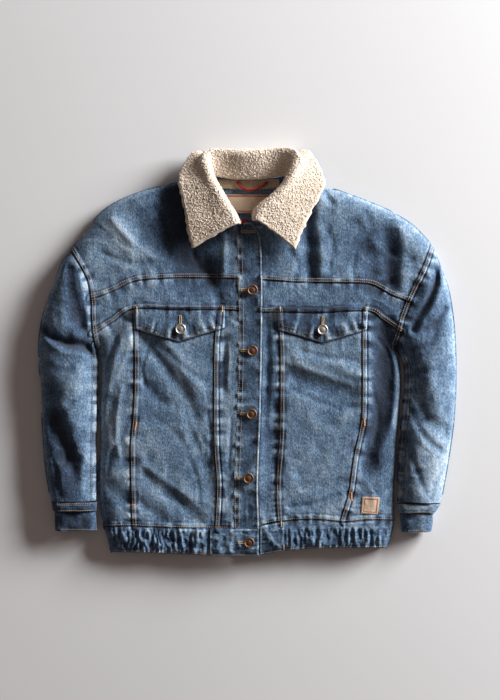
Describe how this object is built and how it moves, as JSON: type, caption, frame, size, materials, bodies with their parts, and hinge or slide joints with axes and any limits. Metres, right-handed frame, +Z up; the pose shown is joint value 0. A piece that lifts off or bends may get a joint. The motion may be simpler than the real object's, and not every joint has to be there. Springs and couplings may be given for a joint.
{
  "type": "sherpa collar denim jacket",
  "caption": "Light wash denim trucker jacket with a cream sherpa collar, flap pockets and a gathered hem, laid flat on its back",
  "frame": {"origin": "on the surface it lies on, under the middle of its bounding box", "axes": "+Z up out of the surface and the front of the jacket, +Y towards the collar, +X towards the sleeve on the right of the view"},
  "size_m": [0.6842, 0.6657, 0.0412],
  "materials": {
    "denim": "washed blue twill, matt",
    "denim_back": "washed blue twill, matt",
    "sherpa": "curly cream pile",
    "neck_tape": "woven twill tape",
    "label": "woven label, plain",
    "red_trim": "red braided cord",
    "copper": "antique copper shank button",
    "silver": "nickel shank button"
  },
  "bodies": {
    "root": {"back_panel": "denim_back", "button_1": "copper", "button_2": "copper", "button_3": "copper", "button_4": "copper", "button_hem": "copper", "chest_strip_L": "denim", "chest_strip_R": "denim", "collar": "sherpa", "cuff_L": "denim", "cuff_R": "denim", "flap_button_L": "silver", "flap_button_R": "silver", "hanger_loop": "red_trim", "hem_back": "denim_back", "hem_gathered_L": "denim", "hem_gathered_R": "denim", "hem_tab_L": "denim", "hem_tab_R": "denim", "inner_cuff_L": "denim", "inner_cuff_R": "denim", "inner_front_L": "denim", "inner_front_R": "denim", "neck_label": "label", "neck_tape": "neck_tape", "placket": "denim", "pocket_flap_L": "denim", "pocket_flap_R": "denim", "pocket_panel_L": "denim", "pocket_panel_R": "denim", "side_panel_L": "denim", "side_panel_R": "denim", "side_patch": "label", "size_tab": "red_trim", "sleeve_top_L": "denim", "sleeve_top_R": "denim", "sleeve_under_L": "denim_back", "sleeve_under_R": "denim_back", "yoke_L": "denim", "yoke_R": "denim"}
  },
  "joints": []
}
